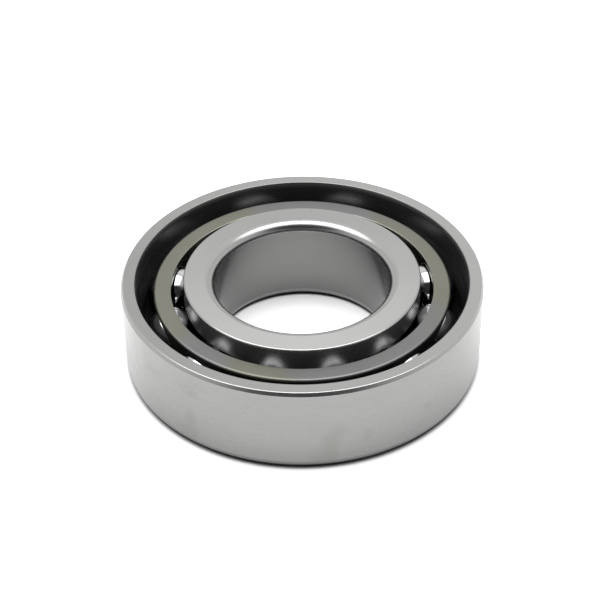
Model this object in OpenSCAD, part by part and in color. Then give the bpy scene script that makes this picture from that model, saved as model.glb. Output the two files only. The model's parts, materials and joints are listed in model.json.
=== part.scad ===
// Single-row angular contact ball bearing, lying on its wide back face.
// The axis is +Z, and the origin is the centre of the back face plane, z = 0.
// Profiles are drawn as (radius, height) and turned round the axis.

/* [Boundary dimensions] */
// Bore diameter of the inner ring
bore_d = 30; // [28:0.5:31]
// Outside diameter of the outer ring
outer_d = 62; // [61:0.5:65]
// Width of both rings, face to face
width = 16; // [15:0.5:18]
// Radius of the rounded corners at both ends of the bore and outside the wide back face
corner_r = 1.6; // [0.6:0.1:1.8]
// Size of the chamfer outside the counterbored face, in radius and in height
front_chamfer_r = 0.4; // [0.3:0.1:0.8]
front_chamfer_z = 0.6; // [0.4:0.1:1]

/* [Balls] */
// Number of balls
ball_count = 12; // [8:1:12]
// Diameter of each ball
ball_d = 9.525; // [8.731, 9.525]
// Diameter of the circle through the ball centres
pitch_d = 46; // [45.6:0.1:46.4]
// Angle of the line of contact from the bearing's plane
contact_angle = 40; // [30:5:40]
// Groove radius over ball diameter
conformity = 0.52; // [0.515:0.005:0.53]
// Gap left between a ball and each groove on the line of contact
groove_gap = 0.015; // [0.01:0.005:0.03]

/* [Shoulders] */
// Diameter of the inner ring's high shoulder
inner_high_d = 40.6; // [40:0.1:41]
// Diameter of the inner ring's low shoulder beside the groove
inner_low_d = 37.4; // [37:0.1:38]
// Diameter of the outer ring's high shoulder
outer_high_d = 51; // [50.6:0.1:51.6]
// Diameter of the outer ring's counterbore beside the groove
lip_d = 55.3; // [55:0.1:55.4]
// Diameter of the outer ring's counterbore, just inside its flared mouth
counterbore_d = 56.7; // [56.4:0.1:57.4]
// Size of the small chamfers at the shoulder edges
edge_chamfer = 0.25; // [0.1:0.05:0.4]
// Radius of the rounded edge between the inner ring's high shoulder and its thrust face
shoulder_round = 0.35; // [0.2:0.05:0.5]

/* [Cage] */
// Thickness of the cage's sheet steel
sheet = 1.0; // [0.8:0.1:1.1]
// Inside diameter of the flat upper flange
flange_inner_d = 45; // [44.4:0.1:45.6]
// Outside diameter of the flat upper flange
flange_outer_d = 51; // [50.4:0.1:51.2]
// Gap between the balls' tops and the flange's underside
flange_gap = 0.35; // [0.2:0.05:0.5]
// Gap between a ball and the edge of its window
window_gap = 0.15; // [0.1:0.05:0.2]

/* [Hidden] */
ball_r = ball_d / 2;
pitch_r = pitch_d / 2;
mid_z = width / 2;
groove_r = conformity * ball_d;
// How far each groove's centre lies past the ball's centre, along the line of contact
groove_shift = groove_r - ball_r - groove_gap;
shift_r = groove_shift * cos(contact_angle);
shift_z = groove_shift * sin(contact_angle);
// The inner ring's low shoulder falls away by this much in radius towards its face
low_relief = 0.3;
// The counterbore's mouth flares out along an arc of this radius, over this depth
mouth_r = 2;
mouth_depth = 1;
// Below the mouth the counterbore leans in by this much down to its foot, then tapers to the lip
counterbore_lean = 0.1;
counterbore_foot_z = 11.5;
// The cage's sheet is drawn round the middle line of its thickness
half_sheet = sheet / 2;
flange_z = mid_z + ball_r + flange_gap + half_sheet;
bend_r = flange_outer_d / 2 - half_sheet;
// The wall leans in from the flange's outer bend to the foot, where a short lip turns further in
foot_r = 22.3;
foot_z = 2.1;
lip_r = 21.4;
flange_edge_r = 0.15;
// Lean of the cage's wall from the vertical
wall_lean = atan((bend_r - foot_r) / (flange_z - foot_z));
// Each window is cut square through the wall, from just inside the ball's centre outwards
window_r = ball_r + window_gap;
window_start = -0.6;
window_length = 6;
// Overlap that keeps cuts clear of coincident faces
past = 1;
$fn = 128;

function ball_name(i) = str("ball_", i < 10 ? "0" : "", i);
// The first ball lies half a step to the right of the front, -Y
function ball_azimuth(i) = -90 + (i - 0.5) * 360 / ball_count;

ring_steel = [0.74, 0.74, 0.73];
cage_steel = [0.52, 0.52, 0.47];
ball_steel = [0.86, 0.87, 0.88];

// What a rounding of radius r takes off a square corner at the origin.
// The material lies towards +x, +y.
module corner_cut(r) {
    difference() {
        translate([-past, -past]) square(r + past);
        translate([r, r]) circle(r = r);
    }
}

// A 45 degree cut across a corner at the origin, with legs of the chamfer's size
module chamfer_cut(size) {
    rotate(45) square(size * sqrt(2), center = true);
}

// What the counterbore's flared mouth takes off a square corner of the front face.
// The origin is where the flare starts, and the material lies towards +x.
module mouth_cut() {
    difference() {
        translate([-past, 0]) square([mouth_r + past, mouth_depth + past]);
        translate([mouth_r, 0]) circle(r = mouth_r);
    }
}

module outer_ring() {
    color(ring_steel)
    rotate_extrude()
    difference() {
        polygon([
            [outer_high_d / 2, 0], [outer_d / 2, 0], [outer_d / 2, width - front_chamfer_z],
            [outer_d / 2 - front_chamfer_r, width], [counterbore_d / 2, width],
            [counterbore_d / 2, width - mouth_depth], [counterbore_d / 2 - counterbore_lean, counterbore_foot_z],
            [lip_d / 2, mid_z + edge_chamfer], [lip_d / 2, mid_z], [outer_high_d / 2, mid_z]
        ]);
        translate([pitch_r - shift_r, mid_z + shift_z]) circle(r = groove_r);
        translate([outer_d / 2, 0]) mirror([1, 0]) corner_cut(corner_r);
        translate([outer_high_d / 2, 0]) chamfer_cut(2 * edge_chamfer);
        translate([counterbore_d / 2, width - mouth_depth]) mouth_cut();
    }
}

module inner_ring() {
    color(ring_steel)
    rotate_extrude()
    difference() {
        polygon([
            [bore_d / 2, 0], [inner_low_d / 2 - low_relief, 0], [inner_low_d / 2, mid_z - edge_chamfer],
            [inner_low_d / 2, mid_z], [inner_high_d / 2, mid_z], [inner_high_d / 2, width], [bore_d / 2, width]
        ]);
        translate([pitch_r + shift_r, mid_z - shift_z]) circle(r = groove_r);
        translate([bore_d / 2, 0]) corner_cut(corner_r);
        translate([bore_d / 2, width]) mirror([0, 1]) corner_cut(corner_r);
        translate([inner_high_d / 2, width]) rotate(180) corner_cut(shoulder_round);
        translate([inner_low_d / 2 - low_relief, 0]) chamfer_cut(edge_chamfer);
    }
}

// A straight run of sheet in profile, from point a to point b on its middle line
module strip(a, b) {
    run = b - a;
    translate(a)
    rotate(atan2(run[1], run[0]))
    translate([0, -half_sheet])
    square([norm(run), sheet]);
}

// The cage's section: flange, outer bend, leaning wall, lower bend and foot lip
module cage_profile() {
    flange_inner = [flange_inner_d / 2, flange_z];
    upper_bend = [bend_r, flange_z];
    lower_bend = [foot_r, foot_z];
    difference() {
        strip(flange_inner, upper_bend);
        translate(flange_inner + [0, half_sheet]) mirror([0, 1]) corner_cut(flange_edge_r);
    }
    translate(upper_bend) circle(r = half_sheet);
    strip(upper_bend, lower_bend);
    translate(lower_bend) circle(r = half_sheet);
    strip([lip_r, foot_z], lower_bend);
}

module cage() {
    color(cage_steel)
    difference() {
        rotate_extrude() cage_profile();
        for (i = [1 : ball_count])
            rotate(ball_azimuth(i))
            translate([pitch_r, 0, mid_z])
            rotate([0, 90 + wall_lean, 0])
            translate([0, 0, window_start])
            cylinder(r = window_r, h = window_length);
    }
}

module ball(i) {
    color(ball_steel)
    rotate(ball_azimuth(i))
    translate([pitch_r, 0, mid_z])
    sphere(r = ball_r);
}

outer_ring();
inner_ring();
cage();
for (i = [1 : ball_count])
    ball(i);
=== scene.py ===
"""Single-row angular contact ball bearing, lying on its wide back face on a pale table.

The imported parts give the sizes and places. The rings, the cage and the balls are rebuilt here as
finer meshes with true surface normals, and each gets a procedural steel finish.
"""

import json
import math

import bmesh
import bpy
import numpy as np
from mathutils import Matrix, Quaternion, Vector


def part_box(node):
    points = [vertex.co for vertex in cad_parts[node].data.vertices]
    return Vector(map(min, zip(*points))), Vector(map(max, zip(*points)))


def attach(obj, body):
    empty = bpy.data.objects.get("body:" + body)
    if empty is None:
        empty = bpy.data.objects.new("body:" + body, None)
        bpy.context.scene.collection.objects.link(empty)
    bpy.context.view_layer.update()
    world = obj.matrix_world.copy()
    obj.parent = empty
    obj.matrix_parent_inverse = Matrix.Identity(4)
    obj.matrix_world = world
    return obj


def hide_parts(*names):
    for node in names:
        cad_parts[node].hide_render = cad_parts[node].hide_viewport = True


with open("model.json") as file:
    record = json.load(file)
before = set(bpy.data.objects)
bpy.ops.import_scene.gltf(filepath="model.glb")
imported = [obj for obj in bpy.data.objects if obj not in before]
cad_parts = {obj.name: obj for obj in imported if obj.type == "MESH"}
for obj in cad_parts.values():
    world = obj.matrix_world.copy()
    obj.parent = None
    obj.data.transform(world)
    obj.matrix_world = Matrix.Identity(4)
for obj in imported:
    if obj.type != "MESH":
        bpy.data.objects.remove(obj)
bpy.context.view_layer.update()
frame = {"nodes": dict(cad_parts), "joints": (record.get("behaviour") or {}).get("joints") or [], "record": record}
record = frame["record"]

MM = 0.001

# ---------------------------------------------------------------- sizes, in metres

mounts = {mount["name"]: mount for mount in record["mounts"]}
joints = {joint["name"]: joint for joint in frame["joints"]}
bore_r = mounts["shaft_bore"]["dims"]["r_mm"] * MM
outer_r = mounts["housing_seat"]["dims"]["r_mm"] * MM
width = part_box("outer_ring")[1].z
mid_z = width / 2
corner_r = (width - mounts["shaft_bore"]["dims"]["length_mm"] * MM) / 2
front_chamfer_z = width - corner_r - mounts["housing_seat"]["dims"]["length_mm"] * MM

balls = sorted(name for name in frame["nodes"] if name.startswith("ball_"))
ball_centres = [Vector(joints[name + "_spin"]["pos_m"]) for name in balls]
ball_low, ball_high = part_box(balls[0])
ball_r = (ball_high.z - ball_low.z) / 2
pitch_r = ball_centres[0].xy.length
spin_axis = Vector(joints[balls[0] + "_spin"]["axis"])
contact_angle = math.atan2(spin_axis.xy.length, spin_axis.z)

# Grooves, shoulders and counterbore of the rings
conformity = 0.52
groove_r = conformity * 2 * ball_r
groove_gap = 0.015 * MM
groove_shift = groove_r - ball_r - groove_gap
inner_high_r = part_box("inner_ring")[1].x
inner_low_r = 18.7 * MM
low_relief = 0.3 * MM
outer_high_r = 25.5 * MM
lip_r = 27.65 * MM
counterbore_r = 28.35 * MM
counterbore_foot = np.array([28.25, 11.5]) * MM
foot_round = 0.5 * MM
mouth_r = 2.0 * MM
mouth_depth = 1.0 * MM
mouth_break = 0.15 * MM
edge_chamfer = 0.25 * MM
front_chamfer_r = 0.4 * MM
front_chamfer_break = 0.25 * MM
shoulder_round = 0.35 * MM
# Blend that breaks every sharp edge
edge_break = 0.05 * MM

# The cage's sheet, drawn round the middle of its thickness
sheet = 1.0 * MM
half_sheet = sheet / 2
cage_low, cage_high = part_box("cage")
flange_edge_r = 22.5 * MM
upper_bend = np.array([cage_high.x - half_sheet, cage_high.z - half_sheet])
lower_bend = np.array([22.3 * MM, cage_low.z + half_sheet])
foot_edge_r = 21.4 * MM
inside_bend_r = 0.1 * MM
cut_break = 0.1 * MM
flange_break = 0.15 * MM
window_gap = 0.15 * MM
window_r = ball_r + window_gap
window_break = 0.08 * MM

# Mesh fineness
RING_TURNS = 384
SECTOR_TURNS = 24
SECTOR_HEIGHT = 20
BALL_GRID = 24
ROUNDING_STEP = math.radians(7.5)
ARC_STEP = math.radians(3)
WELD = 0.001 * MM


# ---------------------------------------------------------------- mesh building

class Surface:
    """Vertices with true normals, and faces with a finish each, welded into one closed mesh."""

    def __init__(self):
        self.points, self.normals, self.faces, self.finishes = [], [], [], []

    def add(self, point, normal):
        self.points.append(point)
        self.normals.append(normal)
        return len(self.points) - 1

    def grid(self, rows, finish):
        """Quads between neighbouring rows of vertices, where each row is a list of indices."""
        for row, following in zip(rows, rows[1:]):
            for i in range(len(row) - 1):
                self.faces.append((row[i], row[i + 1], following[i + 1], following[i]))
                self.finishes.append(finish)

    def build(self, name, materials):
        bm = bmesh.new()
        layer = bm.verts.layers.float_vector.new("true_normal")
        verts = []
        for point, normal in zip(self.points, self.normals):
            vert = bm.verts.new(point)
            vert[layer] = Vector(normal)
            verts.append(vert)
        order = list(materials)
        for face, finish in zip(self.faces, self.finishes):
            made = bm.faces.new([verts[i] for i in face])
            made.material_index = order.index(finish)
            made.smooth = True
        bmesh.ops.remove_doubles(bm, verts=bm.verts[:], dist=WELD)
        bmesh.ops.recalc_face_normals(bm, faces=bm.faces[:])
        open_edges = sum(1 for edge in bm.edges if len(edge.link_faces) != 2)
        if open_edges:
            raise RuntimeError(f"{name} isn't closed: {open_edges} edges")
        normals = [vert[layer].normalized() for vert in bm.verts]
        bm.verts.layers.float_vector.remove(layer)
        mesh = bpy.data.meshes.new(name)
        bm.to_mesh(mesh)
        bm.free()
        mesh.normals_split_custom_set_from_vertices(normals)
        for finish in order:
            mesh.materials.append(materials[finish])
        made = bpy.data.objects.new(name, mesh)
        bpy.context.scene.collection.objects.link(made)
        return made


def rounded_outline(corners):
    """Samples a closed outline, drawn anticlockwise as corners (r, z, rounding, finish, blend).

    The finish is that of the run that leaves the corner. The blend is that of the rounding, where
    it has one of its own. A corner with no rounding lies on a smooth curve and takes the mean
    normal of its two runs. Returns (r, z, normal r, normal z, finish).
    """
    samples = []
    count = len(corners)
    for i, (r, z, rounding, finish, *blend) in enumerate(corners):
        here = np.array([r, z])
        before = here - np.array(corners[i - 1][:2])
        after = np.array(corners[(i + 1) % count][:2]) - here
        before /= np.linalg.norm(before)
        after /= np.linalg.norm(after)
        n1 = np.array([before[1], -before[0]])
        n2 = np.array([after[1], -after[0]])
        turn = math.atan2(before[0] * after[1] - before[1] * after[0], before @ after)
        middle = (n1 + n2) / (1 + n1 @ n2)
        if rounding == 0:
            normal = middle / np.linalg.norm(middle)
            samples.append((r, z, normal[0], normal[1], finish))
            continue
        side = 1 if turn > 0 else -1
        start = math.atan2(n1[1], n1[0])
        steps = max(3, math.ceil(abs(turn) / ROUNDING_STEP))
        for step in range(steps + 1):
            angle = start + turn * step / steps
            normal = np.array([math.cos(angle), math.sin(angle)])
            at = here + side * rounding * (normal - middle)
            kept = blend[0] if blend and step < steps else finish
            samples.append((at[0], at[1], normal[0], normal[1], kept))
    return samples


def arc_corners(centre, radius, start, end, finish):
    """Points along an arc between two angles, without its ends, as corners of an outline."""
    steps = max(2, math.ceil(abs(end - start) / ARC_STEP))
    angles = [start + (end - start) * i / steps for i in range(1, steps)]
    return [
        (centre[0] + radius * math.cos(a), centre[1] + radius * math.sin(a), 0, finish)
        for a in angles
    ]


def revolve(surface, samples, azimuths, closed_outline=True):
    """Turns a sampled outline round the Z axis through the given azimuths."""
    columns = []
    for azimuth in azimuths:
        c, s = math.cos(azimuth), math.sin(azimuth)
        columns.append([
            surface.add((r * c, r * s, z), (nr * c, nr * s, nz)) for r, z, nr, nz, _ in samples
        ])
    last = len(samples) if closed_outline else len(samples) - 1
    for i in range(last):
        j = (i + 1) % len(samples)
        for here, there in zip(columns, columns[1:]):
            surface.faces.append((here[i], there[i], there[j], here[j]))
            surface.finishes.append(samples[i][4])


def full_turn(count):
    """Azimuths of a whole turn, with the first repeated at the end."""
    return [2 * math.pi * i / count for i in range(count + 1)]


# ---------------------------------------------------------------- outlines of the rings

def meets_groove(centre, start, end):
    """The point where the line from start to end first meets a groove's circle."""
    start, run = np.array(start), np.array(end) - np.array(start)
    gap = start - centre
    a, b, c = run @ run, 2 * gap @ run, gap @ gap - groove_r ** 2
    share = (-b - math.sqrt(b * b - 4 * a * c)) / (2 * a)
    return start + share * run


def outer_ring_outline():
    shift = groove_shift * np.array([math.cos(contact_angle), -math.sin(contact_angle)])
    centre = np.array([pitch_r, mid_z]) - shift
    lip = meets_groove(centre, counterbore_foot, (lip_r, mid_z + edge_chamfer))
    shoulder = meets_groove(centre, (outer_high_r, 0), (outer_high_r, mid_z))
    start = math.atan2(lip[1] - centre[1], lip[0] - centre[0])
    end = math.atan2(shoulder[1] - centre[1], shoulder[0] - centre[0])
    mouth_centre = np.array([counterbore_r + mouth_r, width - mouth_depth])
    mouth_top = math.pi - math.asin(mouth_depth / mouth_r)
    mouth_edge_r = mouth_centre[0] + mouth_r * math.cos(mouth_top)
    return [
        (outer_high_r, 2 * edge_chamfer, edge_break, "corner"),
        (outer_high_r + 2 * edge_chamfer, 0, edge_break, "face"),
        (outer_r, 0, corner_r, "wall", "corner"),
        (outer_r, width - front_chamfer_z, front_chamfer_break, "chamfer"),
        (outer_r - front_chamfer_r, width, front_chamfer_break, "face", "chamfer"),
        (mouth_edge_r, width, mouth_break, "race", "corner"),
        *arc_corners(mouth_centre, mouth_r, mouth_top, math.pi, "race"),
        (counterbore_r, width - mouth_depth, 0, "race"),
        (*counterbore_foot, foot_round, "race"),
        (*lip, edge_break, "race"),
        *arc_corners(centre, groove_r, start, end, "race"),
        (*shoulder, edge_break, "race"),
    ]


def inner_ring_outline():
    shift = groove_shift * np.array([-math.cos(contact_angle), math.sin(contact_angle)])
    centre = np.array([pitch_r, mid_z]) - shift
    low_face_r = inner_low_r - low_relief
    low = meets_groove(centre, (low_face_r, 0), (inner_low_r, mid_z - edge_chamfer))
    high = meets_groove(centre, (inner_high_r, width), (inner_high_r, mid_z))
    start = math.atan2(low[1] - centre[1], low[0] - centre[0]) % (2 * math.pi)
    end = math.atan2(high[1] - centre[1], high[0] - centre[0])
    return [
        (bore_r, 0, corner_r, "face", "corner"),
        (low_face_r - edge_chamfer, 0, edge_break, "corner"),
        (low_face_r, edge_chamfer, edge_break, "race"),
        (*low, edge_break, "race"),
        *arc_corners(centre, groove_r, start, end, "race"),
        (*high, edge_break, "race"),
        (inner_high_r, width, shoulder_round, "face", "corner"),
        (bore_r, width, corner_r, "bore", "corner"),
    ]


def make_ring(name, outline, materials):
    surface = Surface()
    revolve(surface, rounded_outline(outline), full_turn(RING_TURNS))
    ring = surface.build(name, materials)
    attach(ring, name.removesuffix("_steel"))
    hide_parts(name.removesuffix("_steel"))
    return ring


# ---------------------------------------------------------------- balls

def make_ball(name, centre, material):
    """A sphere from six curved grids, so that its quads are even all over."""
    surface = Surface()
    ticks = [math.tan(math.pi / 4 * (2 * i / BALL_GRID - 1)) for i in range(BALL_GRID + 1)]
    for axis in range(3):
        for side in (-1, 1):
            rows = []
            for u in ticks:
                row = []
                for v in ticks:
                    normal = np.roll(np.array([side, u, v], float), axis)
                    normal /= np.linalg.norm(normal)
                    point = np.array(centre) + ball_r * normal
                    row.append(surface.add(tuple(point), tuple(normal)))
                rows.append(row)
            surface.grid(rows, "ball")
    ball = surface.build(name + "_steel", {"ball": material})
    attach(ball, name)
    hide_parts(name)
    return ball


# ---------------------------------------------------------------- cage

# Where the rows of the wall lie between a window's rim and its sector's border
ROW_SHARES = (0, 0.12, 0.3, 0.6, 1)
# Slopes of the rows round a window's rim, in degrees from the wall's surface
RIM_SLOPES = (30, 60, 90)
# Steps that bring a point of the window's cylinder to its depth in the wall
DEPTH_STEPS = 8


class CageWall:
    """The leaning wall between the two bends, and one round window in the middle of a sector."""

    def __init__(self):
        run = lower_bend - upper_bend
        self.along = run / np.linalg.norm(run)
        self.out = np.array([-self.along[1], self.along[0]])
        self.window_s = self.s_of(pitch_r, mid_z)

    def s_of(self, r, z):
        """How far down the wall a point of the section lies."""
        return (np.array([r, z]) - upper_bend) @ self.along

    def place(self, azimuth, s, side):
        """Point and normal on the wall's outer (side 1) or inner (side -1) surface."""
        r, z = upper_bend + self.along * s + side * half_sheet * self.out
        c, sn = math.cos(azimuth), math.sin(azimuth)
        nr, nz = side * self.out
        return (r * c, r * sn, z), (nr * c, nr * sn, nz)

    def on_window(self, t, radius, depth):
        """Where the window's cylinder of some radius meets the wall at a depth from its middle.

        Returns the point in the sector's own frame, whose X axis passes through the ball.
        """
        axis = np.array([self.out[0], 0, self.out[1]])
        up = np.array([-self.along[0], 0, -self.along[1]])
        ring = radius * (math.cos(t) * np.array([0, 1, 0]) + math.sin(t) * up)
        point = np.array([pitch_r, 0, mid_z]) + ring
        for _ in range(DEPTH_STEPS):
            across = np.array([math.hypot(point[0], point[1]), point[2]]) - upper_bend
            point = point + (depth - across @ self.out) * axis
        return point

    def window_normal(self, t):
        up = np.array([-self.along[0], 0, -self.along[1]])
        return -(math.cos(t) * np.array([0, 1, 0]) + math.sin(t) * up)


def turned(vector, azimuth):
    """A vector of the sector's own frame, turned to that sector."""
    c, s = math.cos(azimuth), math.sin(azimuth)
    return (vector[0] * c - vector[1] * s, vector[0] * s + vector[1] * c, vector[2])


def sector_border(half_angle, s_top, s_bottom):
    """The border of one sector of the wall as (azimuth, s), once round from a lower corner."""
    turns = [half_angle * (2 * i / SECTOR_TURNS - 1) for i in range(SECTOR_TURNS)]
    climbs = [i / SECTOR_HEIGHT for i in range(SECTOR_HEIGHT)]
    height = s_bottom - s_top
    return (
        [(a, s_bottom) for a in turns]
        + [(half_angle, s_bottom - f * height) for f in climbs]
        + [(-a, s_top) for a in turns]
        + [(-half_angle, s_top + f * height) for f in climbs]
    )


def add_wall_sector(surface, wall, azimuth, half_angle, spans):
    """One sector of the wall: outer and inner surface round the window, and the window's rim."""
    directions = None
    edge_rows = {}
    for side in (1, -1):
        border = sector_border(half_angle, *spans[side])
        if directions is None:
            directions = [
                math.atan2(wall.window_s - s, a * pitch_r) for a, s in border
            ]
        rows = [[] for _ in ROW_SHARES]
        for (a, s), t in zip(border, directions):
            point = wall.on_window(t, window_r + window_break, side * half_sheet)
            hole_a = math.atan2(point[1], point[0])
            hole_s = wall.s_of(math.hypot(point[0], point[1]), point[2])
            for row, share in zip(rows, ROW_SHARES):
                placed, normal = wall.place(
                    azimuth + hole_a + share * (a - hole_a), hole_s + share * (s - hole_s), side
                )
                row.append(surface.add(placed, normal))
        for row in rows:
            row.append(row[0])
        surface.grid(rows, "sheet")
        edge_rows[side] = rows[0]
    rim_rows = [edge_rows[1]]
    for side in (1, -1):
        for slope in RIM_SLOPES[::side]:
            lean = math.radians(slope)
            radius = window_r + window_break * (1 - math.sin(lean))
            depth = side * (half_sheet - window_break * (1 - math.cos(lean)))
            row = []
            for t in directions:
                point = wall.on_window(t, radius, depth)
                face = np.array([wall.out[0], 0, wall.out[1]]) * side
                normal = math.cos(lean) * face + math.sin(lean) * wall.window_normal(t)
                row.append(surface.add(turned(point, azimuth), turned(normal, azimuth)))
            row.append(row[0])
            rim_rows.append(row)
    rim_rows.append(edge_rows[-1])
    surface.grid(rim_rows, "cut")


def make_cage(materials):
    wall = CageWall()
    inner_shift = -half_sheet * wall.out
    # Where the wall's inner surface meets the flange's underside and the foot's upper side
    under_s = (upper_bend[1] + inner_shift[1] - cage_high.z + sheet) / -wall.along[1]
    over_s = (upper_bend[1] + inner_shift[1] - cage_low.z - sheet) / -wall.along[1]
    under = upper_bend + inner_shift + wall.along * under_s
    over = upper_bend + inner_shift + wall.along * over_s
    lean = math.atan2(wall.out[1], wall.out[0])
    bend_corners = arc_corners(upper_bend, half_sheet, lean, math.pi / 2, "sheet")
    foot_corners = arc_corners(lower_bend, half_sheet, -math.pi / 2, lean, "sheet")
    outer_top = tuple(upper_bend - inner_shift)
    outer_foot = tuple(lower_bend - inner_shift)
    outline = [
        (flange_edge_r, cage_high.z - sheet, edge_break, "sheet"),
        (*under, inside_bend_r, "inner_wall"),
        (*over, inside_bend_r, "sheet"),
        (foot_edge_r, cage_low.z + sheet, cut_break, "cut"),
        (foot_edge_r, cage_low.z, cut_break, "sheet"),
        (lower_bend[0], cage_low.z, 0, "sheet"),
        *foot_corners,
        (*outer_foot, 0, "outer_wall"),
        (*outer_top, 0, "sheet"),
        *bend_corners,
        (upper_bend[0], cage_high.z, 0, "sheet"),
        (flange_edge_r, cage_high.z, flange_break, "cut"),
    ]
    samples = rounded_outline(outline)
    # Along each wall run the outline is open: the sectors with windows go there
    inner_at = max(i for i, sample in enumerate(samples) if sample[4] == "inner_wall")
    outer_at = max(i for i, sample in enumerate(samples) if sample[4] == "outer_wall")
    surface = Surface()
    sector = 2 * math.pi / len(balls)
    first = math.atan2(ball_centres[0].y, ball_centres[0].x) - sector / 2
    azimuths = [first + a for a in full_turn(SECTOR_TURNS * len(balls))]
    relabelled = [s[:4] + ("sheet",) if s[4].endswith("_wall") else s for s in samples]
    lower_part = relabelled[inner_at + 1: outer_at + 1]
    upper_part = relabelled[outer_at + 1:] + relabelled[: inner_at + 1]
    revolve(surface, lower_part, azimuths, closed_outline=False)
    revolve(surface, upper_part, azimuths, closed_outline=False)

    spans = {
        1: (wall.s_of(*samples[outer_at + 1][:2]), wall.s_of(*samples[outer_at][:2])),
        -1: (wall.s_of(*samples[inner_at][:2]), wall.s_of(*samples[inner_at + 1][:2])),
    }
    for centre in ball_centres:
        azimuth = math.atan2(centre.y, centre.x)
        add_wall_sector(surface, wall, azimuth, sector / 2, spans)
    cage = surface.build("cage_steel", materials)
    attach(cage, "cage")
    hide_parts("cage")
    return cage


# ---------------------------------------------------------------- shader helpers

def put(tree, socket, value):
    """Links a socket, or sets its value."""
    if isinstance(value, bpy.types.NodeSocket):
        tree.links.new(value, socket)
    else:
        socket.default_value = value


def node(tree, kind, inputs=None, **settings):
    made = tree.nodes.new(kind)
    for key, value in settings.items():
        setattr(made, key, value)
    for key, value in (inputs or {}).items():
        put(tree, made.inputs[key], value)
    return made


def maths(tree, operation, *values):
    made = node(tree, "ShaderNodeMath", dict(enumerate(values)), operation=operation)
    return made.outputs[0]


def remap(tree, value, low, high, source=(0.0, 1.0), smooth=False):
    """A value of the source range, as a rule 0 to 1, moved to low to high and held there."""
    made = node(
        tree, "ShaderNodeMapRange",
        {
            "Value": value, "From Min": source[0], "From Max": source[1],
            "To Min": low, "To Max": high,
        },
        interpolation_type="SMOOTHSTEP" if smooth else "LINEAR",
    )
    return made.outputs["Result"]


def vector_maths(tree, operation, *values, output="Vector", scale=None):
    inputs = dict(enumerate(values))
    if scale is not None:
        inputs["Scale"] = scale
    return node(tree, "ShaderNodeVectorMath", inputs, operation=operation).outputs[output]


def blended(tree, share, first, second):
    made = node(tree, "ShaderNodeMix", {0: share, 6: first, 7: second}, data_type="RGBA")
    return made.outputs[2]


def ring_coordinates(tree):
    """Object position, radius from the axis, height, and the direction round the axis."""
    place = node(tree, "ShaderNodeTexCoord").outputs["Object"]
    parts = node(tree, "ShaderNodeSeparateXYZ", {0: place})
    flat = node(tree, "ShaderNodeCombineXYZ", {0: parts.outputs[0], 1: parts.outputs[1]}).outputs[0]
    radius = vector_maths(tree, "LENGTH", flat, output="Value")
    around = vector_maths(tree, "NORMALIZE", flat)
    return place, radius, parts.outputs[2], around


def lathe_marks(tree, coordinates, pitch, run, detail=2.0, offset=0.0):
    """Streaks round the axis: pitch is their spacing in metres, and a small run makes them long."""
    _, radius, height, around = coordinates
    wound = vector_maths(tree, "MULTIPLY", around, (run, run, 0))
    shifted = maths(tree, "ADD", maths(tree, "MULTIPLY", radius, 1 / pitch), offset)
    deep = node(tree, "ShaderNodeCombineXYZ", {2: shifted}).outputs[0]
    vector = vector_maths(tree, "ADD", wound, deep)
    level = maths(tree, "MULTIPLY", height, 1 / pitch)
    made = node(
        tree, "ShaderNodeTexNoise",
        {"Vector": vector, "W": level, "Scale": 1.0, "Detail": detail, "Roughness": 0.6},
        noise_dimensions="4D",
    )
    return made.outputs[0]


def cloud(tree, place, size, detail=3.0):
    """Soft mottling with features of about that size in metres."""
    made = node(
        tree, "ShaderNodeTexNoise",
        {"Vector": place, "Scale": 1 / size, "Detail": detail, "Roughness": 0.55},
    )
    return made.outputs[0]


def new_material(name):
    material = bpy.data.materials.new(name)
    material.use_nodes = True
    tree = material.node_tree
    tree.nodes.clear()
    return material, tree


def finish_material(tree, colour, metallic, roughness, normal=None, anisotropic=0.0):
    inputs = {"Base Color": colour, "Metallic": metallic, "Roughness": roughness}
    if normal is not None:
        inputs["Normal"] = normal
    if anisotropic:
        inputs["Anisotropic"] = anisotropic
        inputs["Anisotropic Rotation"] = QUARTER_TURN
        tangent = node(tree, "ShaderNodeTangent", direction_type="RADIAL", axis="Z")
        inputs["Tangent"] = tangent.outputs[0]
    shader = node(tree, "ShaderNodeBsdfPrincipled", inputs)
    node(tree, "ShaderNodeOutputMaterial", {"Surface": shader.outputs[0]})


def grey(value, warmth=0.0):
    """A grey that lacks some of its blue."""
    return (value, value, value * (1 - warmth), 1)


def with_painted_light(tree, colour, around, painted_light_way):
    """Painted light: a colour scaled up on the side of the ring that the given direction points to, and down on
    the other, as a painted highlight on one side and painted shade on the other.
    """
    gain = maths(tree, "ADD", vector_maths(tree, "DOT_PRODUCT", around, painted_light_way, output="Value"), 1.0)
    return vector_maths(tree, "SCALE", colour, scale=gain)


# ---------------------------------------------------------------- materials

# Size of the soft mottling on each kind of steel, and how dark and how light it makes the tone
GROUND_MOTTLE = 9 * MM
RACE_MOTTLE = 4 * MM
SHEET_MOTTLE = 5 * MM
DARKER, LIGHTER = 0.93, 1.05
# Grinding marks: spacing of the fine and the coarse ones, their depth, the roughness they add or
# take away, and how much they stretch a reflection
FINE_MARKS = 0.09 * MM
COARSE_MARKS = 0.6 * MM
MARK_DEPTH = 0.0005 * MM
MARK_ROUGHNESS = 0.04
MARK_STRETCH = 0.35
# Turns a stretched reflection from along the marks to across them
QUARTER_TURN = 0.25
# Spacing of the marks that honing leaves
HONING_MARKS = 0.05 * MM
# The cage's tumbled grain: its size and depth
GRAIN = 0.25 * MM
GRAIN_DEPTH = 0.004 * MM
# Patches where the cage's tint drifts from olive to plain grey, and smudges on the ground wall:
# their size, and the levels of the noise between which they come in
TINT_PATCH = 20 * MM
TINT_RANGE = (0.46, 0.6)
STAIN_PATCH = 8 * MM
STAIN_RANGE = (0.56, 0.72)


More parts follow.
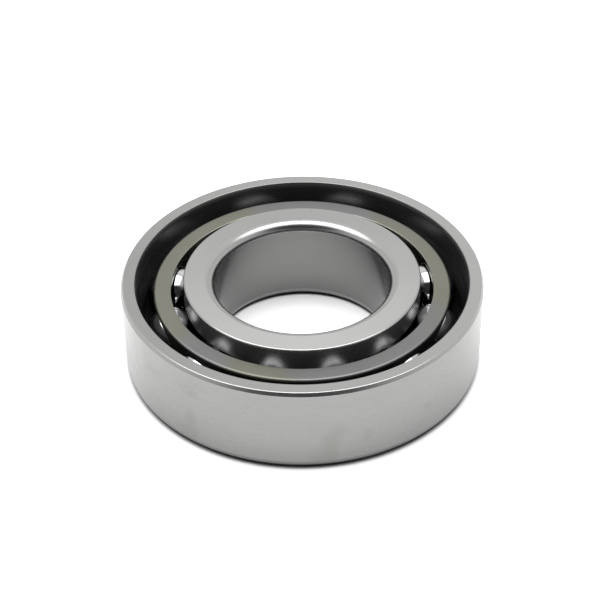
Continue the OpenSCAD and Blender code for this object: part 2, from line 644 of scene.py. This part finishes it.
def ground_steel(name, tone, roughness, painted_light_way=(0, 0, 0), stain=0.0):
    """Fine-ground bearing steel with marks round the axis, and painted light: a little brighter towards the given
    direction and darker away from it.

    Where stain is set, faint darker smudges cover a few places, mixed in up to that share.
    """
    material, tree = new_material(name)
    coordinates = ring_coordinates(tree)
    fine = lathe_marks(tree, coordinates, FINE_MARKS, 3.0, detail=3.0)
    coarse = lathe_marks(tree, coordinates, COARSE_MARKS, 1.6, offset=7.0)
    mottle = cloud(tree, coordinates[0], GROUND_MOTTLE)
    mixed = maths(tree, "MULTIPLY", maths(tree, "ADD", coarse, mottle), 0.5)
    plain = blended(tree, mixed, grey(tone * DARKER, 0.02), grey(tone * LIGHTER, 0.01))
    if stain:
        smudge = cloud(tree, coordinates[0], STAIN_PATCH, detail=2.0)
        share = remap(tree, smudge, 0.0, stain, STAIN_RANGE, smooth=True)
        plain = blended(tree, share, plain, grey(tone * 0.7, 0.12))
    # Painted light: the colour is scaled up on one side of the ring and down on the other.
    colour = with_painted_light(tree, plain, coordinates[3], painted_light_way)
    rough = maths(
        tree, "ADD",
        remap(tree, fine, roughness - MARK_ROUGHNESS, roughness + MARK_ROUGHNESS),
        remap(tree, mottle, -MARK_ROUGHNESS, MARK_ROUGHNESS),
    )
    marks = {"Height": fine, "Strength": 1.0, "Distance": MARK_DEPTH}
    bump = node(tree, "ShaderNodeBump", marks).outputs[0]
    finish_material(tree, colour, 1.0, rough, bump, MARK_STRETCH)
    return material


def polished_steel(name, tone, roughness, metallic=1.0):
    """Honed and polished steel with faint marks, for the raceways and the balls."""
    material, tree = new_material(name)
    coordinates = ring_coordinates(tree)
    fine = lathe_marks(tree, coordinates, HONING_MARKS, 2.0)
    mottle = cloud(tree, coordinates[0], RACE_MOTTLE)
    colour = blended(tree, mottle, grey(tone * 0.96), grey(tone * 1.03))
    rough = remap(tree, fine, roughness * 0.7, roughness * 1.3)
    finish_material(tree, colour, metallic, rough)
    return material


def sheet_steel(name, tone, roughness, painted_light_way=(0, 0, 0)):
    """Matt pressed sheet steel, faintly olive in large patches, with a fine tumbled grain, and painted light that
    makes it brighter towards the given direction and darker away from it.
    """
    material, tree = new_material(name)
    coordinates = ring_coordinates(tree)
    grain = cloud(tree, coordinates[0], GRAIN, detail=4.0)
    mottle = cloud(tree, coordinates[0], SHEET_MOTTLE)
    drift = cloud(tree, coordinates[0], TINT_PATCH, detail=1.0)
    share = remap(tree, drift, 0.0, 1.0, TINT_RANGE, smooth=True)
    olive = blended(tree, mottle, grey(tone * DARKER, 0.21), grey(tone * LIGHTER, 0.14))
    plain = blended(tree, mottle, grey(tone * DARKER, 0.02), grey(tone * LIGHTER, 0.0))
    # Painted light: brighter on one side of the cage and darker on the other.
    colour = with_painted_light(tree, blended(tree, share, olive, plain), coordinates[3], painted_light_way)
    rough = maths(
        tree, "ADD",
        remap(tree, grain, roughness - 0.06, roughness + 0.06),
        remap(tree, mottle, -0.03, 0.03),
    )
    texture = {"Height": grain, "Strength": 1.0, "Distance": GRAIN_DEPTH}
    bump = node(tree, "ShaderNodeBump", texture).outputs[0]
    finish_material(tree, colour, 1.0, rough, bump)
    return material


# The direction vectors given to the ring faces and to the cage paint light onto them: each is brighter on the side
# the vector points to and darker on the other.
inner_face = ground_steel("inner_face_ground", 0.272, 0.28, (0.01, -0.14, 0))
outer_face = ground_steel("outer_face_ground", 0.235, 0.28, (0.09, 0.06, 0))
ring_wall = ground_steel("ring_wall_ground", 0.245, 0.28, stain=0.35)
ring_bore = ground_steel("ring_bore_ground", 0.165, 0.24)
inner_corner = ground_steel("inner_corner_turned", 0.25, 0.24)
outer_corner = ground_steel("outer_corner_turned", 0.20, 0.32)
outer_chamfer = ground_steel("outer_chamfer_ground", 0.26, 0.26)
inner_race = polished_steel("inner_race_honed", 0.20, 0.30, metallic=0.85)
outer_race = polished_steel("outer_race_honed", 0.065, 0.28, metallic=0.75)
ball_mirror = polished_steel("ball_mirror", 0.36, 0.05)
cage_sheet = sheet_steel("cage_sheet", 0.126, 0.42, (0, 0.08, 0))
cage_cut = sheet_steel("cage_cut_edge", 0.19, 0.30)


# ---------------------------------------------------------------- the bearing

outer_finishes = {
    "face": outer_face,
    "wall": ring_wall,
    "corner": outer_corner,
    "chamfer": outer_chamfer,
    "race": outer_race,
}
inner_finishes = {
    "face": inner_face,
    "bore": ring_bore,
    "corner": inner_corner,
    "race": inner_race,
}
make_ring("outer_ring_steel", outer_ring_outline(), outer_finishes)
make_ring("inner_ring_steel", inner_ring_outline(), inner_finishes)
make_cage({"sheet": cage_sheet, "cut": cage_cut})
for ball_name, ball_centre in zip(balls, ball_centres):
    make_ball(ball_name, ball_centre, ball_mirror)

# ---------------------------------------------------------------- table, light and camera

TABLE_HALF = 4.0
TABLE_DROP = 0.02 * MM
TABLE_ROUGHNESS = 0.7
# Reach of the painted contact shadow in the bore and outside the bearing, the share of open sky at which it
# is darkest and at which it ends, and what it leaves of the table's colour where it is darkest
BORE_REACH = 0.7 * MM
CONTACT_REACH = 1.4 * MM
CONTACT_SKY = (0.25, 0.7)
CONTACT_SHARE = 0.08

SOFTBOX_DISTANCE = 0.8
SOFTBOX_HALF_ANGLES = (42, 23.5)
SOFTBOX_WAY = (-0.06, 0.03, 1.0)
SOFTBOX_RADIANCE = 4.6

# Radiance of the walls at some angles above the table
WALLS = ((0, 0.35), (14, 0.5), (28, 1.1), (40, 1.5), (54, 1.35), (70, 1.15), (90, 1.0))
# How much brighter the back is, and the front darker
BACK_BIAS = 0.3
# The walls at the sides and the back stay bright down to the table: their gain there, the back's
# share of it, and the heights (sine of the angle above the table) where it fades and is gone
SIDE_GAIN = 2.8
BACK_SHARE = 0.5
SIDE_FADE = (0.15, 0.5)
# The dark round the camera: angle of its middle above the table, angles from there at which it
# starts to fade and is gone, and what it leaves of the walls' light. Directions are squeezed
# sideways before the test, so that the dark is wider than it is high.
DARK_RISE = 42
DARK_FADE = (18, 34)
DARK_SHARE = 0.06
DARK_SQUEEZE = 0.6

CAMERA_RISE = 37.82
CAMERA_ROLL = -0.736
CAMERA_DISTANCE = 271.7 * MM
CAMERA_TARGET = (-0.39 * MM, 0, 10.54 * MM)
CAMERA_LENS = 94.18
CAMERA_SENSOR = 36
CAMERA_CLIP = 0.01


def make_table():
    """A wide matt white table, with a painted contact shadow: its colour darkens in the narrow gap right under the
    bearing's round corners.
    """
    material, tree = new_material("table_white")
    place = node(tree, "ShaderNodeTexCoord").outputs["Object"]
    tint = blended(tree, cloud(tree, place, 0.2), grey(0.86), grey(0.88))
    from_axis = vector_maths(tree, "LENGTH", place, output="Value")
    reach = remap(tree, from_axis, BORE_REACH, CONTACT_REACH, (bore_r, outer_r))
    sky = node(tree, "ShaderNodeAmbientOcclusion", {"Distance": reach}, samples=16).outputs["AO"]
    # Painted shadow: where little open sky is near, the table's colour is darkened towards black.
    open_share = remap(tree, sky, CONTACT_SHARE, 1.0, CONTACT_SKY)
    finish_material(tree, blended(tree, open_share, grey(0.0), tint), 0.0, TABLE_ROUGHNESS)
    corners = [
        (x * TABLE_HALF, y * TABLE_HALF, 0) for x, y in ((-1, -1), (1, -1), (1, 1), (-1, 1))
    ]
    mesh = bpy.data.meshes.new("table")
    mesh.from_pydata(corners, [], [(0, 1, 2, 3)])
    mesh.materials.append(material)
    table = bpy.data.objects.new("table", mesh)
    bpy.context.scene.collection.objects.link(table)
    table.location.z = -TABLE_DROP


def make_softbox():
    """One long oval softbox overhead, from left to right."""
    light = bpy.data.lights.new("softbox", "AREA")
    light.shape = "ELLIPSE"
    light.size, light.size_y = (
        2 * SOFTBOX_DISTANCE * math.tan(math.radians(angle)) for angle in SOFTBOX_HALF_ANGLES
    )
    area = math.pi * light.size * light.size_y / 4
    light.energy = SOFTBOX_RADIANCE * math.pi * area
    made = bpy.data.objects.new("softbox", light)
    way = Vector(SOFTBOX_WAY).normalized()
    made.location = SOFTBOX_DISTANCE * way
    made.rotation_euler = Vector((0, 0, 1)).rotation_difference(way).to_euler()
    bpy.context.scene.collection.objects.link(made)


def wall_colours(tree, height):
    """The walls' brightness by height, as a colour of up to 1."""
    rise = maths(tree, "DIVIDE", maths(tree, "ARCSINE", height), math.pi / 2)
    ramp = node(tree, "ShaderNodeValToRGB", {"Fac": rise})
    brightest = max(value for _, value in WALLS)
    stops = [(angle / 90, value / brightest) for angle, value in WALLS]
    elements = ramp.color_ramp.elements
    elements[0].position, elements[1].position = stops[0][0], stops[-1][0]
    for at, _ in stops[1:-1]:
        elements.new(at)
    for element, (_, value) in zip(elements, stops):
        element.color = (value, value, value, 1)
    return ramp.outputs["Color"], brightest


def camera_side(tree, way):
    """What is left of the walls' light: little near the camera's direction, and all elsewhere."""
    ahead = Vector((0, -math.cos(math.radians(DARK_RISE)), math.sin(math.radians(DARK_RISE))))
    squeezed = vector_maths(tree, "MULTIPLY", way, (DARK_SQUEEZE, 1, 1))
    narrowed = vector_maths(tree, "NORMALIZE", squeezed)
    toward = vector_maths(tree, "DOT_PRODUCT", narrowed, ahead, output="Value")
    apart = maths(tree, "ARCCOSINE", toward)
    fade = [math.radians(angle) for angle in DARK_FADE]
    return remap(tree, apart, DARK_SHARE, 1.0, fade, smooth=True)


def make_surroundings():
    """Pale walls that brighten upwards, bright down to the table except on the dark camera side."""
    world = bpy.data.worlds.new("studio")
    bpy.context.scene.world = world
    world.use_nodes = True
    tree = world.node_tree
    tree.nodes.clear()
    way = node(tree, "ShaderNodeTexCoord").outputs["Generated"]
    sideways, backwards, height = node(tree, "ShaderNodeSeparateXYZ", {0: way}).outputs
    colours, brightest = wall_colours(tree, height)
    low = remap(tree, height, SIDE_GAIN, 0.0, SIDE_FADE, smooth=True)
    side = maths(tree, "MULTIPLY", sideways, sideways)
    behind = maths(tree, "POWER", maths(tree, "MAXIMUM", backwards, 0.0), 2.0)
    around = maths(tree, "MULTIPLY_ADD", behind, BACK_SHARE, side)
    low_gain = maths(tree, "MULTIPLY_ADD", around, low, 1.0)
    bias = maths(tree, "MULTIPLY_ADD", backwards, BACK_BIAS, 1.0)
    gain = maths(tree, "MULTIPLY", maths(tree, "MULTIPLY", camera_side(tree, way), bias), low_gain)
    strength = maths(tree, "MULTIPLY", gain, brightest)
    shade = node(tree, "ShaderNodeBackground", {"Color": colours, "Strength": strength})
    node(tree, "ShaderNodeOutputWorld", {"Surface": shade.outputs[0]})


def make_camera():
    """A camera in front that shows the bearing three-quarters on, very slightly rolled."""
    camera = bpy.data.cameras.new("camera")
    camera.sensor_width = CAMERA_SENSOR
    camera.lens = CAMERA_LENS
    camera.clip_start = CAMERA_CLIP
    made = bpy.data.objects.new("camera", camera)
    bpy.context.scene.collection.objects.link(made)
    elevation = math.radians(CAMERA_RISE)
    back = Vector((0, -math.cos(elevation), math.sin(elevation)))
    made.location = Vector(CAMERA_TARGET) + CAMERA_DISTANCE * back
    turn = back.to_track_quat("Z", "Y") @ Quaternion((0, 0, 1), math.radians(CAMERA_ROLL))
    made.rotation_euler = turn.to_euler()
    bpy.context.scene.camera = made


make_table()
make_softbox()
make_surroundings()
make_camera()
bpy.context.scene.view_settings.view_transform = "Standard"
